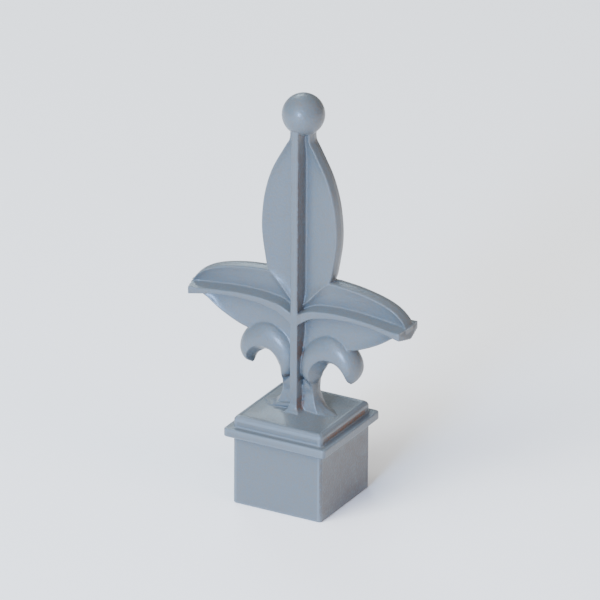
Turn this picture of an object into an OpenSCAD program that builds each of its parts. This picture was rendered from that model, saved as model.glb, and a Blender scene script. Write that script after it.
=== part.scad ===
// Fleur-de-lis finial that slips over the end of a square post.
// One casting: a square socket, a collar, a crowned plinth, and a ribbed lily with a ball on top.
// Millimetres. The origin is the middle of the socket's open rim, the front faces -Y and up is +Z.

/* [Socket] */
// Outside width of the square socket
socket_w = 31; // [30:0.1:32]
// Height from the open rim to the underside of the collar
socket_h = 22.8; // [20:0.1:26]
// Inside width, a slip fit over a 25.4 mm square post
bore_w = 25.8; // [25.4:0.1:27]
// How far the post goes in
bore_depth = 25; // [20:0.1:26]

/* [Collar and plinth] */
// Width of the square collar
collar_w = 35.6; // [34:0.1:38]
// Thickness of the collar
collar_h = 2.8; // [2:0.1:4]
// Width of the square plinth
plinth_w = 31; // [29:0.1:32]
// Height of the plinth at its edge
plinth_h = 3.8; // [3.4:0.1:4.6]
// Radius along the plinth's top edge
plinth_round = 1.5; // [1:0.1:2]
// Slope of the crowned top, in degrees
crown_slope = 5; // [3:0.5:6]

/* [Lily] */
// Overall width across the tips of the side ribs
lily_span = 76.4; // [72:0.2:82]
// Thickness of the leaves at the rim
rim_t = 5; // [4:0.1:6]
// How deep each face of a leaf is dished
dish = 1.3; // [0.6:0.1:1.8]
// Thickness of the ribs, front to back
rib_t = 11; // [9:0.1:13]
// Width of the middle rib at its face
rib_w = 2.5; // [2:0.1:3.2]
// Half the depth of the curls, front to back
curl_d = 4.75; // [4:0.05:5.4]
// Radius of the ball
ball_r = 6.65; // [6:0.05:7.5]
// Height of the ball's centre
ball_z = 127.2; // [125:0.1:129]

/* [Hidden] */
cast_grey = [0.60, 0.64, 0.68];
over = 0.5;              // overlap where one form runs into another
edge_r = 0.4;            // small radius on cast edges
corner_r = 1;            // radius on the upright edges of the base
bore_r = 0.5;            // radius in the corners of the socket
groove = 0.2;            // step between the plinth's rounded edge and its crowned top
parting = 0.35;          // how far the rims stand out at the parting line
draft = 0.12;            // slope of the rib sides
fade_w = 9;              // half width below which a leaf's dish fades out
rib_tip = 1.2;           // how far the rib's end runs out at the parting line
rib_drop = 0.7;          // how far it drops there
steps = 2;               // rings between two given stations of a lily form
collar_z = socket_h + collar_h;
plinth_z = collar_z + plinth_h;
crown_z = plinth_z - groove + (plinth_w / 2 - plinth_round) * tan(crown_slope);
$fn = 48;

// Middle leaf, from its foot to the neck: [half width, height]
middle_leaf = [
    [0.6, 63.6], [3.3, 66.5], [6.6, 70.3], [9.6, 73.2], [11.1, 75.2], [12.1, 80], [13, 86],
    [13.1, 92], [12.1, 100], [9.65, 108], [5.4, 116], [3.3, 119.5], [3.2, 123]
];
// Right leaf, outwards from the middle: [distance, upper rim, rib, lower rim]
side_leaf = [
    [-0.5, 64.2, 60, 50], [3.3, 67, 62.4, 50.8], [6.6, 70.8, 63.8, 51.6], [9.6, 73.8, 64.4, 52.3],
    [11.4, 74.1, 64.6, 52.6], [14, 73.9, 64.9, 52.6], [20.5, 73.1, 64.9, 54], [27.5, 71.5, 64.5, 57.2],
    [32.6, 69.4, 63.9, 60.7], [35.7, 66.9, 63.6, 62.3], [37, 64.8, 63.5, 62.9]
];
// Right rib: [distance, height, half width at its face]
side_rib = [
    [0, 59.8, 2.1], [1.7, 61.4, 1.75], [5.2, 63.4, 1.4], [9, 64.3, 1.15], [13.5, 64.9, 0.95],
    [20, 65, 0.8], [27, 64.5, 0.72], [33, 63.8, 0.8], [36.9, 63.55, 0.95]
];
// Right curl, from the leg to the point:
// [inner edge out and up, outer crest out and up, share of the depth, swell of the inner side]
curl = [
    [5.3, 36.8, 3.6, 37, 0.5, 0.2], [5.1, 39.2, 2.6, 39.6, 0.67, 0.6], [4.8, 41.2, 1.2, 41.6, 0.93, 1.8],
    [4.6, 43.5, 0.3, 44.4, 1, 2.8], [5.4, 45.8, 0.4, 48.6, 1, 3.2], [6.8, 47.5, 2.8, 52.6, 1, 3],
    [8.6, 48.8, 6.4, 55.5, 1, 2.7], [10.6, 49.4, 10.5, 56.9, 1, 2.5], [12.8, 49.3, 14.6, 56, 1, 2.5],
    [14.7, 48.6, 18, 53.6, 1, 2.7], [16.1, 47.4, 20.3, 50.3, 1, 2.7], [17, 45.9, 21, 46.9, 0.97, 2.4],
    [17.4, 44.4, 20.2, 44.2, 0.85, 1.9], [17.4, 43, 18.9, 42.4, 0.6, 1.3], [16.9, 41.5, 17.3, 41.1, 0.08, 0.2]
];
// Right leg, from the plinth up into the curl:
// [height, inner side, front corner out and forward, toe corner out and forward, tip out]
leg = [
    [29.2, 2.4, 7.6, 3.4, 10, 2.9, 12.2], [29.8, 2.4, 7.5, 3.4, 9.8, 2.8, 12],
    [30.1, 2.3, 7.4, 3.3, 9.2, 2.4, 11.2], [30.6, 2, 7.1, 3.2, 8.4, 2, 9.9],
    [31.4, 1.9, 6.7, 3.1, 7.7, 1.7, 8.5], [32.6, 1.9, 6.2, 2.9, 6.8, 1.5, 7.2],
    [34, 1.9, 5.8, 2.7, 6.15, 1.5, 6.4], [36, 1.9, 5.3, 2.5, 5.55, 1.5, 5.7],
    [38, 1.9, 5.1, 2.7, 5.3, 1.8, 5.4], [41.5, 2.3, 4.9, 2.8, 5.1, 2, 5.2]
];
// Middle rib, upwards from the plinth: [height, extra half width, extra half depth]
rib_foot = [
    [29.2, 1.2, 1.2], [30.4, 1.1, 1.1], [31, 0.6, 0.6], [31.8, 0.2, 0.25], [33, 0.04, 0.05], [36, 0, 0]
];

// Point at t, from 0 to 1, on a smooth curve through the points p
function along(p, t) =
    let (
        last = len(p) - 1, s = t * last, i = min(floor(s), last - 1), f = s - i,
        a = p[max(i - 1, 0)], b = p[i], c = p[i + 1], d = p[min(i + 2, last)]
    )
    b + (c - a) * f / 2 + (a - 2.5 * b + 2 * c - d / 2) * f * f + (1.5 * (b - c) + (d - a) / 2) * f * f * f;

// The stations p with more rings between them
function smooth(p) = let (n = steps * (len(p) - 1)) [for (i = [0:n]) along(p, i / n)];

function backwards(p) = [for (i = [len(p) - 1:-1:0]) p[i]];

// Half of a dished face from the rib out to the rim, w wide: [across, depth]
function dished(w) =
    let (rim = rim_t / 2, f = min(w / fade_w, 1), hollow = dish * f * f * (3 - 2 * f))
    [
        for (s = [0, 0.4, 0.66, 0.83, 0.94]) [s * w, rim - hollow * (1 - pow(s, 4))],
        [max(w - edge_r, 0.97 * w), rim], [w, rim - edge_r]
    ];

// Ring round a leaf with the given widths to each side of its rib: [across, depth]
function leaf_ring(up, down) =
    let (a = dished(up), b = dished(down))
    concat(
        [for (p = a) [p.x, -p.y]], [[up + parting, 0]], backwards(a),
        [for (i = [1:len(b) - 1]) [-b[i].x, b[i].y]], [[-down - parting, 0]],
        [for (i = [len(b) - 1:-1:1]) [-b[i].x, -b[i].y]]
    );

// Ring round a rib with drafted sides: [across, depth], starting on the parting line
function rib_ring(half, depth) =
    let (mid = half + draft * depth)
    [
        [mid, 0], [half, depth - edge_r], [half - edge_r, depth], [edge_r - half, depth],
        [-half, depth - edge_r], [-mid, 0], [-half, edge_r - depth], [edge_r - half, -depth],
        [half - edge_r, -depth], [half, edge_r - depth]
    ];

// Closed skin over rings with the same number of points
module skin(rings) {
    m = len(rings[0]);
    top = (len(rings) - 1) * m;
    polyhedron(
        points = [for (r = rings) each r],
        faces = [
            for (j = [1:m - 2]) each [[0, j, j + 1], [top, top + j + 1, top + j]],
            for (i = [0:m:top - m], j = [0:m - 1])
                let (k = (j + 1) % m) each [[i + j, i + m + j, i + m + k], [i + j, i + m + k, i + k]]
        ]
    );
}

// Draws a form and its mirror image on the left
module both_sides() {
    children();
    mirror([1, 0, 0]) children();
}

module rounded_square(w, r) {
    square([w - 2 * r, w], center = true);
    square([w, w - 2 * r], center = true);
    for (x = [-1, 1], y = [-1, 1]) translate([x, y] * (w / 2 - r)) circle(r);
}

// Square block with the 2D side view given as a child, cut the same from the front and the side
module square_block(w) {
    intersection() {
        rotate([90, 0, 0]) linear_extrude(w, center = true) children();
        rotate([90, 0, 90]) linear_extrude(w, center = true) children();
        linear_extrude(plinth_z * 2) rounded_square(w, corner_r);
    }
}

// Side view of a slab with its edges rounded at the bottom and the top
module slab_view(w, low, high) {
    translate([0, (low + high) / 2]) intersection() {
        square([w, high - low], center = true);
        union() {
            square([w - 2 * edge_r, high - low], center = true);
            square([w, high - low - 2 * edge_r], center = true);
            for (x = [-1, 1], y = [-1, 1])
                translate([x * (w / 2 - edge_r), y * ((high - low) / 2 - edge_r)]) circle(edge_r);
        }
    }
}

// Side view of the plinth: rounded edges, a small step, and a top that rises to the middle
module plinth_view() {
    edge = plinth_w / 2 - plinth_round;
    for (x = [-1, 1]) translate([x * edge, plinth_z - plinth_round]) circle(plinth_round);
    translate([-plinth_w / 2, collar_z - over]) square([plinth_w, plinth_h - plinth_round + over]);
    polygon([
        [-edge, collar_z], [edge, collar_z], [edge, plinth_z - groove], [0, crown_z],
        [-edge, plinth_z - groove]
    ]);
}

module socket() {
    square_block(socket_w) slab_view(socket_w, 0, socket_h + 2 * over);
}

module collar() {
    square_block(collar_w) slab_view(collar_w, socket_h, collar_z);
}

module plinth() {
    square_block(plinth_w) plinth_view();
}

module post_bore() {
    translate([0, 0, -over]) linear_extrude(bore_depth + over) rounded_square(bore_w, bore_r);
}

module middle_leaf() {
    skin([for (s = smooth(middle_leaf)) [for (p = leaf_ring(s[0], s[0])) [p.x, p.y, s[1]]]]);
}

module side_leaf() {
    skin([
        for (s = smooth(side_leaf))
            [for (p = leaf_ring(s[1] - s[2], s[2] - s[3])) [s[0], -p.y, s[2] + p.x]]
    ]);
}

module middle_rib() {
    heights = concat(smooth(rib_foot), [[ball_z, 0, 0]]);
    skin([
        for (s = heights) [for (p = rib_ring(rib_w / 2 + s[1], rib_t / 2 + s[2])) [p.x, p.y, s[0]]]
    ]);
}

// The rib's end runs out to a blunt V at the parting line
module side_rib() {
    stations = smooth(side_rib);
    last = len(stations) - 1;
    skin([
        for (i = [0:last])
            let (s = stations[i])
            [
                for (p = rib_ring(s[2], rib_t / 2))
                    let (bulge = i == last ? 1 - 2 * abs(p.y) / rib_t : 0)
                    [s[0] + rib_tip * bulge, -p.y, s[1] + p.x - (p.x < 0 ? rib_drop * bulge : 0)]
            ]
    ]);
}

// A horn with a domed outer side and a gently swollen inner side, with an edge between them
module curl() {
    skin([
        for (s = smooth(curl))
            let (
                inner = [s[0], s[1]], reach = [s[2], s[3]] - inner, swell = -s[5] * reach / norm(reach),
                d = s[4] * curl_d
            )
            concat(
                [for (a = [-90:20:90]) let (p = inner + reach * cos(a)) [p.x, -d * sin(a), p.y]],
                [for (a = [45, 0, -45]) let (p = inner + swell * cos(a)) [p.x, -d * a / 90, p.y]]
            )
    ]);
}

// A short leg that spreads into a foot with a toe
module leg() {
    skin([
        for (s = smooth(leg))
            let (side = [[s[1], s[3]], [s[2], s[3]], [s[4], s[5]]])
            concat(
                [for (p = side) [p.x, -p.y, s[0]]],
                [[s[6], 0, s[0]]],
                [for (p = backwards(side)) [p.x, p.y, s[0]]]
            )
    ]);
}

module ball() {
    translate([0, 0, ball_z]) sphere(ball_r);
}

module lily() {
    resize([lily_span, 0, 0]) union() {
        middle_leaf();
        middle_rib();
        both_sides() {
            side_leaf();
            side_rib();
            curl();
            leg();
        }
    }
}

module finial() {
    color(cast_grey) {
        difference() {
            union() {
                socket();
                collar();
                plinth();
            }
            post_bore();
        }
        lily();
        ball();
    }
}

finial();
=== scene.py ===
import bpy
import bmesh
import math
from mathutils import Matrix, Vector


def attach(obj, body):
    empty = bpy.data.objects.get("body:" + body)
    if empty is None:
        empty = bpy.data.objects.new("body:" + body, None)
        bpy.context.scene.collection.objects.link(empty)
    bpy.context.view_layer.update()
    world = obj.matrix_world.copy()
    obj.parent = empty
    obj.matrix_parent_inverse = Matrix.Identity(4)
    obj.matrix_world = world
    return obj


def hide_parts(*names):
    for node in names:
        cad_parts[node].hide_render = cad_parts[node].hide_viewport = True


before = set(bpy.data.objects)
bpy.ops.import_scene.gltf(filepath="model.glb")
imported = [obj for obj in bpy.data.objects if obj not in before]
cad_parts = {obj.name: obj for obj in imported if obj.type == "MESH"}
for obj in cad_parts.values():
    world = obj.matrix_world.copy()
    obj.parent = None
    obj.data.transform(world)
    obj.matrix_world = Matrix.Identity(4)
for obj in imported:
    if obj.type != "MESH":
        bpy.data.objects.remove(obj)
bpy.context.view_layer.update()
mm = 0.001  # the pieces below are shaped in millimetres, as a pattern maker would


# A point at t, 0 to 1, on a smooth curve through the points
def along(points, t):
    last = len(points) - 1
    i = min(int(t * last), last - 1)
    f = t * last - i
    a, b, c, d = points[max(i - 1, 0)], points[i], points[i + 1], points[min(i + 2, last)]
    return [
        q + (r - p) * f / 2 + (p - 2.5 * q + 2 * r - s / 2) * f * f + (1.5 * (q - r) + (s - p) / 2) * f ** 3
        for p, q, r, s in zip(a, b, c, d)
    ]


def smooth(points, steps):
    count = steps * (len(points) - 1)
    return [along(points, i / count) for i in range(count + 1)]


# Extrudes a face with its edges, so the old face goes unless it is an end cap
def push(bm, face):
    pushed = bmesh.ops.extrude_face_region(bm, geom=[face, *face.edges])["geom"]
    return next(item for item in pushed if isinstance(item, bmesh.types.BMFace))


# A disc on the first ring, pushed on from ring to ring into a closed form
def sweep(bm, rings):
    made = bmesh.ops.create_circle(bm, cap_ends=True, segments=len(rings[0]), radius=1)
    face = made["verts"][0].link_faces[0]
    for vert, place in zip(face.verts, rings[0]):
        vert.co = place
    for ring in rings[1:]:
        face = push(bm, face)
        for vert, place in zip(face.verts, ring):
            vert.co = place


# Puts a form into the casting, with a copy on the left for the paired ones
def addForm(casting, form, paired=False):
    bmesh.ops.recalc_face_normals(form, faces=form.faces)
    mesh = bpy.data.meshes.new("form")
    form.to_mesh(mesh)
    casting.from_mesh(mesh)
    if paired:
        mesh.transform(Matrix.Scale(-1, 4, (1, 0, 0)))
        mesh.flip_normals()
        casting.from_mesh(mesh)
    bpy.data.meshes.remove(mesh)
    form.free()


# Camera, placed as the picture was taken
cameraSet = {
    "azimuth": 28.9,
    "elevation": 23.7,
    "roll": 0.37,
    "distance": 3000,
    "aimHeight": 60,
    "aimPixel": (302.2, 316.65),  # where the aim point stands in the frame
    "scale": 3.2652,              # pixels per millimetre there
    "frameSize": 600,
    "sensor": 36,
    "clipEnd": 20,                # in metres
}


def makeCamera(s):
    az, el, roll = (math.radians(s[k]) for k in ("azimuth", "elevation", "roll"))
    back = Vector((math.sin(az) * math.cos(el), -math.cos(az) * math.cos(el), math.sin(el)))
    right = Vector((math.cos(az), math.sin(az), 0))
    up = back.cross(right)
    right, up = right * math.cos(roll) + up * math.sin(roll), up * math.cos(roll) - right * math.sin(roll)
    offX = (s["frameSize"] / 2 - s["aimPixel"][0]) / s["scale"]
    offY = (s["aimPixel"][1] - s["frameSize"] / 2) / s["scale"]
    place = Vector((0, 0, s["aimHeight"])) + back * s["distance"] + right * offX + up * offY
    data = bpy.data.cameras.new("camera")
    data.sensor_width = s["sensor"]
    data.lens = s["scale"] * s["distance"] * s["sensor"] / s["frameSize"]
    data.clip_end = s["clipEnd"]
    camera = bpy.data.objects.new("camera", data)
    turn = Matrix((right, up, back)).transposed().to_4x4()
    camera.matrix_world = Matrix.Translation(place * mm) @ turn
    bpy.context.collection.objects.link(camera)
    bpy.context.scene.camera = camera


makeCamera(cameraSet)
print("camera placed")


# Base: socket, collar and plinth, one stack of square rings
baseSet = {
    "socketHalf": 15.5,
    "socketHeight": 22.8,
    "boreHalf": 12.9,
    "boreDepth": 25,
    "collarHalf": 17.8,
    "collarTop": 25.6,
    "plinthHalf": 15.5,
    "plinthTop": 29.4,
    "plinthRound": 1.5,
    "bead": 0.12,       # step from the rounded edge down to the crowned top
    "inset": 0.25,      # width of that step
    "crown": 1.15,      # rise of the top towards the middle
    "crownPower": 1.7,
    "crownCells": 56,
    "crownSink": 1,     # how deep the crown reaches into the plinth
    "edge": 0.4,
    "corner": 1,
    "cornerSteps": 6,
    "arcSteps": 6,
    "rimLift": 0.01,    # the outside starts this little above the rim
    "rimAngle": -75,    # and at this angle of the rounded lower edge
}


def arc(centreHalf, centreZ, radius, start, end, steps):
    angles = [math.radians(start + (end - start) * i / steps) for i in range(steps + 1)]
    return [(centreHalf + radius * math.cos(a), centreZ + radius * math.sin(a)) for a in angles]


# Pushes a face on through square rings, given as half widths and heights
def stackSquare(bm, profile, face, half):
    for newHalf, z in profile:
        face = push(bm, face)
        for vert in face.verts:
            vert.co = (vert.co.x * newHalf / half, vert.co.y * newHalf / half, z)
        half = newHalf


def makeBase(casting, s):
    bm = bmesh.new()
    bmesh.ops.create_cube(bm, size=1)
    start = s["socketHalf"] - s["edge"]
    bmesh.ops.scale(bm, vec=(2 * start, 2 * start, 1), verts=bm.verts)
    bmesh.ops.translate(bm, vec=(0, 0, 0.5), verts=bm.verts)
    upright = [e for e in bm.edges if abs(e.verts[0].co.z - e.verts[1].co.z) > 0.5]
    bmesh.ops.bevel(
        bm, geom=upright, offset=s["corner"], offset_type="OFFSET", affect="EDGES",
        segments=s["cornerSteps"], profile=0.5, material=-1
    )
    top = max(bm.faces, key=lambda f: f.calc_center_median().z)
    bottom = min(bm.faces, key=lambda f: f.calc_center_median().z)
    for vert in top.verts:
        vert.co.z = s["rimLift"]
    steps, edge, plinthRound = s["arcSteps"], s["edge"], s["plinthRound"]
    inner = s["plinthHalf"] - plinthRound
    crownHalf, crownBase = inner - s["inset"], s["plinthTop"] - s["bead"]
    outside = arc(start, edge, edge, s["rimAngle"], 0, steps)
    outside += [(s["socketHalf"], s["socketHeight"])]
    outside += arc(s["collarHalf"] - edge, s["socketHeight"] + edge, edge, -90, 0, steps)
    outside += arc(s["collarHalf"] - edge, s["collarTop"] - edge, edge, 0, 90, steps)
    outside += [(s["plinthHalf"], s["collarTop"])]
    outside += arc(inner, s["plinthTop"] - plinthRound, plinthRound, 0, 90, 2 * steps)
    outside += [(crownHalf, crownBase)]
    stackSquare(bm, outside, top, start)
    stackSquare(bm, [(s["boreHalf"], 0), (s["boreHalf"], s["boreDepth"])], bottom, start)
    addForm(casting, bm)
    makeCrown(casting, crownHalf, crownBase, s)


# The plinth's crowned top, a pillow without ridges
def makeCrown(casting, half, base, s):
    bm = bmesh.new()
    bmesh.ops.create_grid(bm, x_segments=s["crownCells"], y_segments=s["crownCells"], size=half)
    top = bm.verts[:]
    pushed = bmesh.ops.extrude_face_region(bm, geom=bm.faces[:] + bm.edges[:])["geom"]
    under = [item for item in pushed if isinstance(item, bmesh.types.BMVert)]
    bmesh.ops.translate(bm, vec=(0, 0, base - s["crownSink"]), verts=under)
    for vert in top:
        across, deep = (1 - abs(v / half) ** s["crownPower"] for v in vert.co.xy)
        vert.co.z = base + s["crown"] * across * deep
    addForm(casting, bm)


# Leaves, dished on both faces between a rib and a rim
leafSet = {
    "rim": 2.5,         # half the thickness at the rim
    "dish": 1.3,
    "fadeWidth": 6.5,   # narrower than this the dish fades out
    "curve": 2.7,       # how late the dish rises to the rim
    "parting": 0.35,    # how far the rim stands out at the parting line
    "edge": 0.35,
    "edgeShare": 0.1,   # of the width, where that is less
    "across": 14,       # points from a rib to a rim
    "crowding": 1.6,    # above 1 they stand closer together near the rim
    "steps": 8,
    "middle": [         # half width and height
        (0.6, 63.6), (3.3, 66.5), (6.6, 70.3), (9.6, 73.2), (11.1, 75.2), (12.1, 80), (13, 86),
        (13.1, 92), (12.1, 100), (9.65, 108), (5.4, 116), (3.6, 119.3), (3.5, 123)
    ],
    "side": [           # distance out, upper rim, rib, lower rim
        (-0.5, 64.2, 60, 50), (3.3, 67, 62.4, 50.8), (6.6, 70.8, 63.8, 51.6), (9.6, 73.8, 64.4, 52.3),
        (11.4, 74.2, 64.6, 52.6), (14, 74.1, 64.9, 52.6), (20.5, 73.4, 64.9, 54), (27.5, 71.9, 64.4, 57.2),
        (32.6, 69.9, 63.7, 60.6), (35.9, 67.3, 63.3, 62), (37.3, 65, 63.2, 62.5)
    ],
}


def dished(width, s):
    f = min(width / s["fadeWidth"], 1)
    hollow = s["dish"] * f * f * (3 - 2 * f)
    edge = min(s["edge"], width * s["edgeShare"])
    face = []
    for i in range(s["across"]):
        t = 1 - (1 - i / s["across"]) ** s["crowding"]
        face.append((t * (width - edge), s["rim"] - hollow * (1 - t ** s["curve"])))
    return face + [(width - edge, s["rim"]), (width, s["rim"] - edge)]


def leafRing(up, down, s):
    a, b = dished(up, s), dished(down, s)
    ring = [(x, -y) for x, y in a] + [(up + s["parting"], 0)] + a[::-1]
    ring += [(-x, y) for x, y in b[1:]] + [(-down - s["parting"], 0)]
    return ring + [(-x, -y) for x, y in b[:0:-1]]


def makeLeaves(casting, s):
    middle = bmesh.new()
    sweep(middle, [[(x, y, z) for x, y in leafRing(w, w, s)] for w, z in smooth(s["middle"], s["steps"])])
    addForm(casting, middle)
    side = bmesh.new()
    sweep(side, [
        [(x, -y, rib + z) for z, y in leafRing(up - rib, rib - low, s)]
        for x, up, rib, low in smooth(s["side"], s["steps"])
    ])
    addForm(casting, side, paired=True)


# Ribs, drafted towards the parting line
ribSet = {
    "half": 1.25,
    "depth": 5.5,
    "draft": 0.12,
    "edge": 0.3,
    "cut": 0.3,         # share of the edge that its middle point is set in
    "steps": 6,
    "top": 127.2,
    "foot": [           # height, extra half width, extra half depth
        (29.2, 1.2, 1.2), (30.4, 1.1, 1.1), (31, 0.6, 0.6), (31.8, 0.2, 0.25), (33, 0.04, 0.05), (36, 0, 0)
    ],
    "side": [           # distance out, height, half width at the face, depth
        (0, 59.8, 2.1, 5.5), (1.7, 61.4, 1.75, 5.5), (5.2, 63.4, 1.4, 5.5), (9, 64.3, 1.15, 5.5),
        (13.5, 64.9, 0.95, 5.5), (20, 65, 0.8, 5.5), (27, 64.5, 0.75, 5.6), (33, 63.6, 0.95, 5.9),
        (36.9, 63.2, 1.25, 6.2)
    ],
    "tip": 1.35,        # how far the end runs out at the parting line
    "lean": 0.3,        # more above and less below
    "drop": 0.45,       # how far the underside hangs there
}


def ribRing(half, depth, s):
    edge, mid = s["edge"], half + s["draft"] * depth
    cut = s["cut"] * edge
    quarter = [(half, depth - edge), (half - cut, depth - cut), (half - edge, depth)]
    ring = [(mid, 0)] + quarter + [(-x, y) for x, y in quarter[::-1]] + [(-mid, 0)]
    return ring + [(-x, -y) for x, y in quarter] + [(x, -y) for x, y in quarter[::-1]]


def makeRibs(casting, s):
    middle = bmesh.new()
    sweep(middle, [
        [(x, y, z) for x, y in ribRing(s["half"] + wide, s["depth"] + deep, s)]
        for z, wide, deep in smooth(s["foot"], s["steps"]) + [(s["top"], 0, 0)]
    ])
    addForm(casting, middle)
    side = bmesh.new()
    stations = smooth(s["side"], s["steps"])
    rings = [[(x, -y, z + up) for up, y in ribRing(half, deep, s)] for x, z, half, deep in stations]
    endX, endZ, endHalf, endDeep = stations[-1]
    blunt = []
    for up, y in ribRing(endHalf, endDeep, s):
        bulge = 1 - abs(y) / endDeep
        lean, drop = (s["lean"], 0) if up > 0 else (-s["lean"], s["drop"])
        blunt.append((endX + (s["tip"] + lean) * bulge, -y, endZ + up - drop * bulge))
    sweep(side, rings[:-1] + [blunt])
    addForm(casting, side, paired=True)


# Curls, domed on the outer side and gently swollen on the inner side, and the legs under them
curlSet = {
    "depth": 4.75,
    "steps": 6,
    "domeSteps": 12,    # from the crest to the front edge
    "swellSteps": 7,    # from there to the middle of the inner side
    "path": [           # inner edge, outer crest, share of the depth, swell of the inner side
        (5.3, 36.8, 3.6, 37, 0.5, 0.2), (5.1, 39.2, 2.6, 39.6, 0.67, 0.6), (4.8, 41.2, 1.2, 41.6, 0.93, 1.8),
        (4.6, 43.5, 0.3, 44.4, 1, 2.8), (5.4, 45.8, 0.4, 48.6, 1, 3.2), (6.8, 47.5, 2.8, 52.6, 1, 3),
        (8.6, 48.8, 6.4, 55.5, 1, 2.7), (10.6, 49.4, 10.5, 56.9, 1, 2.5), (12.8, 49.3, 14.6, 56, 1, 2.5),
        (14.7, 48.6, 18, 53.6, 1, 2.7), (16.1, 47.4, 20.3, 50.3, 1, 2.7), (17, 45.9, 21, 46.9, 0.97, 2.4),
        (17.4, 44.4, 20.2, 44.2, 0.85, 1.9), (17.4, 43, 18.9, 42.4, 0.6, 1.3),
        (16.9, 41.5, 17.3, 41.1, 0.08, 0.2)
    ],
}
legSet = {
    "steps": 5,
    "path": [           # height, inner side, front corner, toe corner, tip
        (29.2, 2.4, 7.6, 3.4, 10, 2.9, 12.2), (29.8, 2.4, 7.5, 3.4, 9.8, 2.8, 12),
        (30.1, 2.3, 7.4, 3.3, 9.2, 2.4, 11.2), (30.6, 2, 7.1, 3.2, 8.4, 2, 9.9),
        (31.4, 1.9, 6.7, 3.1, 7.7, 1.7, 8.5), (32.6, 1.9, 6.2, 2.9, 6.8, 1.5, 7.2),
        (34, 1.9, 5.8, 2.7, 6.15, 1.5, 6.4), (36, 1.9, 5.3, 2.5, 5.55, 1.5, 5.7),
        (38, 1.9, 5.1, 2.7, 5.3, 1.8, 5.4), (41.5, 2.3, 4.9, 2.8, 5.1, 2, 5.2)
    ],
}


def makeCurls(casting, s):
    bm = bmesh.new()
    dome, swells = s["domeSteps"], s["swellSteps"]
    rings = []
    for innerX, innerZ, outerX, outerZ, share, swell in smooth(s["path"], s["steps"]):
        inner, reach = Vector((innerX, 0, innerZ)), Vector((outerX - innerX, 0, outerZ - innerZ))
        deep = Vector((0, -share * s["depth"], 0))
        ring = []
        for step in range(-dome, dome + 1):
            angle = math.radians(step * 90 / dome)
            ring.append(inner + reach * max(math.cos(angle), 0) + deep * math.sin(angle))
        for step in range(1 - swells, swells):
            side = -step / swells
            ring.append(inner - reach.normalized() * swell * math.cos(side * math.pi / 2) + deep * side)
        rings.append(ring)
    sweep(bm, rings)
    addForm(casting, bm, paired=True)


def makeLegs(casting, s):
    bm = bmesh.new()
    rings = []
    for z, inner, frontX, frontY, toeX, toeY, tip in smooth(s["path"], s["steps"]):
        half = [(inner, frontY), (frontX, frontY), (toeX, toeY)]
        rings.append([(x, -y, z) for x, y in half] + [(tip, 0, z)] + [(x, y, z) for x, y in half[::-1]])
    sweep(bm, rings)
    addForm(casting, bm, paired=True)


# Spare metal that this casting has by its left foot: a bar in front, and a low flange at the side
spareSet = {
    "barStart": (-7.3, -3.55, 30.5),
    "barEnd": (-1.6, -3.7, 31.5),
    "barRadius": 0.75,
    "barSegments": 24,
    "barSteps": 6,      # in each round end
    "flangeBase": 29,
    "flange": [(-13.4, 0.7, 29.75), (-9.1, -4.2, 30.2), (-4, -3.6, 30.5), (-4, 3, 30.5), (-10, 3.5, 29.9)],
}


def makeSpare(casting, s):
    bar = bmesh.new()
    start, end = Vector(s["barStart"]), Vector(s["barEnd"])
    radius, steps, halfLong = s["barRadius"], s["barSteps"], (end - start).length / 2
    turn = (end - start).to_track_quat("Z", "Y").to_matrix().to_4x4()
    rings = []
    for i in range(1, 2 * steps + 2):
        angle = math.pi * i / (2 * steps + 2)
        centre = -halfLong if i <= steps else halfLong
        out, height = radius * math.sin(angle), centre - radius * math.cos(angle)
        turns = (2 * math.pi * k / s["barSegments"] for k in range(s["barSegments"]))
        rings.append([(out * math.cos(a), out * math.sin(a), height) for a in turns])
    sweep(bar, rings)
    bmesh.ops.transform(bar, matrix=Matrix.Translation((start + end) / 2) @ turn, verts=bar.verts)
    addForm(casting, bar)
    flange = bmesh.new()
    sweep(flange, [[(x, y, s["flangeBase"]) for x, y, _ in s["flange"]], s["flange"]])
    addForm(casting, flange)


ballSet = {"radius": 6.65, "height": 127.2, "segments": 96, "rings": 48}


def makeBall(casting, s):
    bm = bmesh.new()
    bmesh.ops.create_uvsphere(bm, u_segments=s["segments"], v_segments=s["rings"], radius=s["radius"])
    bmesh.ops.translate(bm, vec=(0, 0, s["height"]), verts=bm.verts)
    addForm(casting, bm)


# Joins the forms into one skin and softens it as a cast surface
skinSet = {
    "voxel": 0.2,
    "passes": 3,        # of smoothing
    "softness": 0.5,
    "triangles": 185000,
}


def makeSkin(casting, s):
    mesh = bpy.data.meshes.new("casting")
    casting.to_mesh(mesh)
    casting.free()
    mesh.transform(Matrix.Scale(mm, 4))
    piece = bpy.data.objects.new("casting", mesh)
    bpy.context.collection.objects.link(piece)
    remesh = piece.modifiers.new("join", "REMESH")
    remesh.mode = "VOXEL"
    remesh.voxel_size = s["voxel"] * mm
    remesh.use_smooth_shade = True
    soften = piece.modifiers.new("soften", "SMOOTH")
    soften.factor = s["softness"]
    soften.iterations = s["passes"]
    settle(piece)
    thin = piece.modifiers.new("thin", "DECIMATE")
    thin.ratio = min(1, s["triangles"] / (2 * len(piece.data.polygons)))
    settle(piece)
    return piece


# Applies the modifiers to the mesh
def settle(piece):
    done = bpy.data.meshes.new_from_object(piece.evaluated_get(bpy.context.evaluated_depsgraph_get()))
    piece.modifiers.clear()
    old = piece.data
    piece.data = done
    bpy.data.meshes.remove(old)


# Marks how far each point lies below its softened surroundings, for painted highlights on the edges and
# painted shade in the corners
hollowSet = {"passes": 12, "softness": 0.5, "depth": 0.3}


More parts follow.
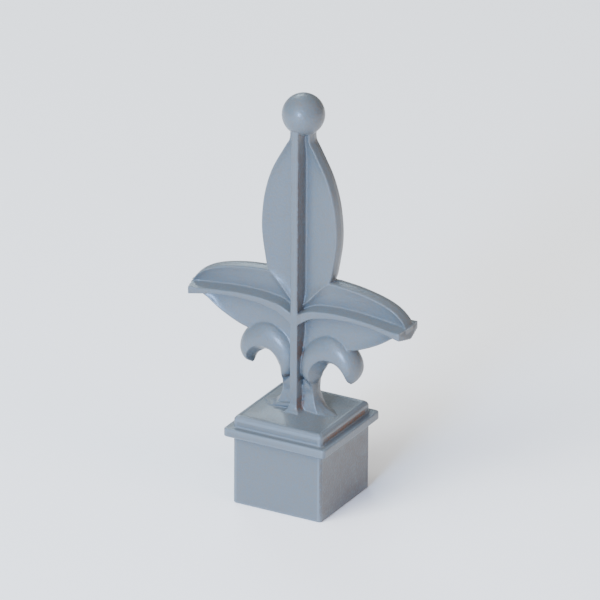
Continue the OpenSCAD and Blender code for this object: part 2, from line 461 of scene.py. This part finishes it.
def markHollows(piece, s):
    bm = bmesh.new()
    bm.from_mesh(piece.data)
    for _ in range(s["passes"]):
        bmesh.ops.smooth_vert(
            bm, verts=bm.verts, factor=s["softness"], use_axis_x=True, use_axis_y=True, use_axis_z=True
        )
    marks = []
    for vert, soft in zip(piece.data.vertices, bm.verts):
        marks.append(min(max((soft.co - vert.co).dot(vert.normal) / (s["depth"] * mm), -1), 1))
    piece.data.attributes.new("hollow", "FLOAT", "POINT").data.foreach_set("value", marks)
    bm.free()


casting = bmesh.new()
makeBase(casting, baseSet)
makeLeaves(casting, leafSet)
makeRibs(casting, ribSet)
makeCurls(casting, curlSet)
makeLegs(casting, legSet)
makeSpare(casting, spareSet)
makeBall(casting, ballSet)
print("forms made:", len(casting.faces), "faces")
finial = makeSkin(casting, skinSet)
print("skin made:", len(finial.data.polygons), "triangles")
markHollows(finial, hollowSet)
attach(finial, "root")
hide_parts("finial")


# A number socket that takes part in Python sums
class Wire:
    def __init__(self, nodes, socket):
        self.nodes = nodes
        self.socket = socket

    def sum(self, operation, first, second):
        return self.nodes.add("ShaderNodeMath", {"operation": operation}, [first, second])

    def __add__(self, other): return self.sum("ADD", self, other)
    def __radd__(self, other): return self.sum("ADD", other, self)
    def __sub__(self, other): return self.sum("SUBTRACT", self, other)
    def __rsub__(self, other): return self.sum("SUBTRACT", other, self)
    def __mul__(self, other): return self.sum("MULTIPLY", self, other)
    def __rmul__(self, other): return self.sum("MULTIPLY", other, self)
    def __abs__(self): return self.sum("ABSOLUTE", self, 0)

    def clamp(self):
        return self.nodes.add("ShaderNodeClamp", inputs=[self])

    # 0 at low, 1 at high, and smooth between them
    def between(self, low, high):
        return self.nodes.add(
            "ShaderNodeMapRange", {"interpolation_type": "SMOOTHSTEP"},
            {"Value": self, "From Min": low, "From Max": high}
        )


class Nodes:
    def __init__(self, name):
        self.material = bpy.data.materials.new(name)
        self.material.use_nodes = True
        self.tree = self.material.node_tree
        self.shader = self.tree.nodes["Principled BSDF"]

    # Any node: its type, its settings, and the values or wires of its sockets
    def add(self, kind, settings=None, inputs=None, output=0):
        node = self.tree.nodes.new(kind)
        for key, value in (settings or {}).items():
            setattr(node, key, value)
        pairs = inputs.items() if isinstance(inputs, dict) else enumerate(inputs or [])
        for key, value in pairs:
            self.feed(node.inputs[key], value)
        return Wire(self, node.outputs[output])

    def mix(self, factor, first, second):
        return self.add("ShaderNodeMix", {"data_type": "RGBA"}, {0: factor, 6: first, 7: second}, output=2)

    # 1 about a place in millimetres, out to a share of the reach, and fading to 0 at the reach
    def near(self, axes, middle, reach, full):
        away = None
        for axis, centre, size in zip(axes, middle, reach):
            off = abs(axis * (1000 / size) - centre / size)
            away = off if away is None else off.sum("MAXIMUM", away, off)
        return 1 - away.between(full, 1)

    def feed(self, socket, value):
        if isinstance(value, Wire):
            self.tree.links.new(value.socket, socket)
        else:
            socket.default_value = value


castSet = {
    "colour": (0.067, 0.088, 0.105, 1),
    "warm": (0.088, 0.083, 0.076, 1),
    # dark brown of the painted shade, in hollows and in the shade patches
    "paintedShade": (0.045, 0.035, 0.028, 1),
    "rust": (0.1, 0.048, 0.024, 1),
    # painted highlight: a lighter tone laid on convex edges and ridges
    "edgeHighlight": (0.105, 0.13, 0.152, 1),
    "roughness": 0.48,
    "roughMottle": 0.15,   # how much the mottle and the painted shade in hollows change it
    "roughInShade": 0.35,
    "coat": 0.25,
    "coatRoughness": 0.2,
    "mottleScale": 260,    # per metre
    "mottleDetail": 4,
    "grainScale": 1300,
    "grainDetail": 3,
    "bump": 0.8,
    "bumpDistance": 0.00015,
    "bumpMottle": 0.6,     # height of the mottle beside the grain's
    "warmShare": 0.38,
    "warmMottle": 0.7,
    "warmGrain": 2,
    # painted highlight on edges: where the lighter tone starts over raised parts, and how much of it
    "edgeHighlightRange": (0.1, 0.8),
    "edgeHighlightShare": 0.6,
    # painted shade in hollows: where it starts, how ragged it is, and how much of it
    "shadeRange": (0.5, 1.3),
    "shadeMottle": 0.8,
    "shadeGrain": 0.9,
    "shadeShare": 0.5,
    # painted shade in patches with ragged edges, on right-facing sides and in creases
    "patchRange": (0, 0.8),
    "patchMottle": 0.6,
    "patchGrain": 2.2,
    "patchLoss": 0.35,     # what the ragged edge takes off a patch
    "patchFull": 0.6,      # share of its reach where a patch is full
    "rustRange": (0.38, 0.55),
    "shadePatches": [            # painted shade patches: place and reach in millimetres, strength, share of rust
        # painted shade along the plinth's lower band on its right side
        ((15.4, 0, 26.9), (0.9, 16.5, 1), 1, 1),
        # painted shade on the rib's right wall by its foot and by the curls
        ((1.8, -4, 33), (0.9, 2.2, 3), 0.7, 0.8),
        ((1.8, -4, 51), (0.9, 2.2, 4), 0.7, 0.6),
        # painted shade down the rib's right wall
        ((1.8, -4, 80), (0.9, 2.5, 50), 0.3, 0.3),
        # painted shade in the crease where the curls meet the legs
        ((0, -3, 41), (6, 2.2, 0.9), 0.8, 0.1),
        # painted shade over the socket's right face
        ((15.5, 0, 11), (0.9, 26, 12.4), 0.5, 0.1),
    ],
}


# A tone mottled with a warmer one, then painted highlights on the edges, painted shade in the corners, and
# patches of painted shade with ragged edges
def castMaterial(s):
    n = Nodes("castGrey")
    place = n.add("ShaderNodeTexCoord", output="Object")
    axes = [n.add("ShaderNodeSeparateXYZ", inputs=[place], output=axis) for axis in "XYZ"]
    mottle, grain = (
        n.add("ShaderNodeTexNoise", inputs={"Vector": place, "Scale": scale, "Detail": detail})
        for scale, detail in ((s["mottleScale"], s["mottleDetail"]), (s["grainScale"], s["grainDetail"]))
    )
    patches, specks = mottle - 0.5, grain - 0.5   # both lie about 0
    hollow = n.add("ShaderNodeAttribute", {"attribute_name": "hollow"}, output="Fac")
    warmth = patches * s["warmMottle"] + specks * s["warmGrain"] + s["warmShare"]
    colour = n.mix(warmth.clamp(), s["colour"], s["warm"])
    # painted highlight: convex edges and ridges, where the hollow mark is below 0, get the lighter tone
    colour = n.mix((0 - hollow).between(*s["edgeHighlightRange"]) * s["edgeHighlightShare"], colour, s["edgeHighlight"])
    # painted shade: hollows, corners and creases darken to brown, ragged by the mottle and grain
    paintedShade = (hollow + specks * s["shadeGrain"] + patches * s["shadeMottle"]).between(*s["shadeRange"])
    colour = n.mix(paintedShade * s["shadeShare"], colour, s["paintedShade"])
    rusty = grain.between(*s["rustRange"])
    # painted shade: each patch darkens to brown with rust-coloured specks
    for middle, reach, strength, rust in s["shadePatches"]:
        shadePatch = n.near(axes, middle, reach, s["patchFull"])
        ragged = shadePatch + patches * s["patchMottle"] + specks * s["patchGrain"] - s["patchLoss"]
        shadePatch = ragged.between(*s["patchRange"]) * shadePatch * strength
        colour = n.mix(shadePatch, colour, n.mix(rusty * rust, s["paintedShade"], s["rust"]))
    height = grain + mottle * s["bumpMottle"]
    bump = n.add(
        "ShaderNodeBump", inputs={"Strength": s["bump"], "Distance": s["bumpDistance"], "Height": height}
    )
    finish = {
        "Base Color": colour,
        "Coat Weight": s["coat"],
        "Coat Roughness": s["coatRoughness"],
        "Roughness": s["roughness"] + patches * s["roughMottle"] + paintedShade * s["roughInShade"],
        "Normal": bump,
    }
    for socket, value in finish.items():
        n.feed(n.shader.inputs[socket], value)
    return n.material


finial.data.materials.append(castMaterial(castSet))
print("finish made")


# Floor and lights
studioSet = {
    "floorHalf": 3,
    "floorColour": (0.9, 0.9, 0.9, 1),
    "floorRoughness": 0.9,
    "worldColour": (1, 1, 1, 1),
    "world": 0.32,
    "lights": {         # place, size, power, colour, whether it is reflected
        "key": ((-1.1, 1.2, 1.25), 0.8, 17, (0.7, 0.88, 1), True),
        "top": ((-0.3, -0.7, 2.2), 1.4, 45, (0.93, 0.97, 1), False),
        "front": ((-0.8, -2.2, 1.8), 1.6, 138, (0.95, 0.98, 1), False),
        "window": ((0.13, -1.75, 0.59), 0.42, 68, (0.36, 0.58, 1), True),
        "warm": ((1.8, -0.2, 0.6), 1, 23, (1, 0.63, 0.4), False),
    },
    "lightAim": (0, 0, 0.06),
}


def makeStudio(s):
    bm = bmesh.new()
    bmesh.ops.create_grid(bm, x_segments=1, y_segments=1, size=s["floorHalf"])
    mesh = bpy.data.meshes.new("floor")
    bm.to_mesh(mesh)
    bm.free()
    floor = bpy.data.objects.new("floor", mesh)
    bpy.context.collection.objects.link(floor)
    n = Nodes("paleFloor")
    n.feed(n.shader.inputs["Base Color"], s["floorColour"])
    n.feed(n.shader.inputs["Roughness"], s["floorRoughness"])
    mesh.materials.append(n.material)
    world = bpy.data.worlds.new("studio")
    world.use_nodes = True
    background = world.node_tree.nodes["Background"].inputs
    background["Color"].default_value = s["worldColour"]
    background["Strength"].default_value = s["world"]
    bpy.context.scene.world = world
    for name, (place, size, power, colour, reflected) in s["lights"].items():
        data = bpy.data.lights.new(name, "AREA")
        data.size = size
        data.energy = power
        data.color = colour
        light = bpy.data.objects.new(name, data)
        light.location = place
        light.visible_glossy = reflected
        light.rotation_euler = (Vector(s["lightAim"]) - Vector(place)).to_track_quat("-Z", "Y").to_euler()
        bpy.context.collection.objects.link(light)


makeStudio(studioSet)
print("studio made")
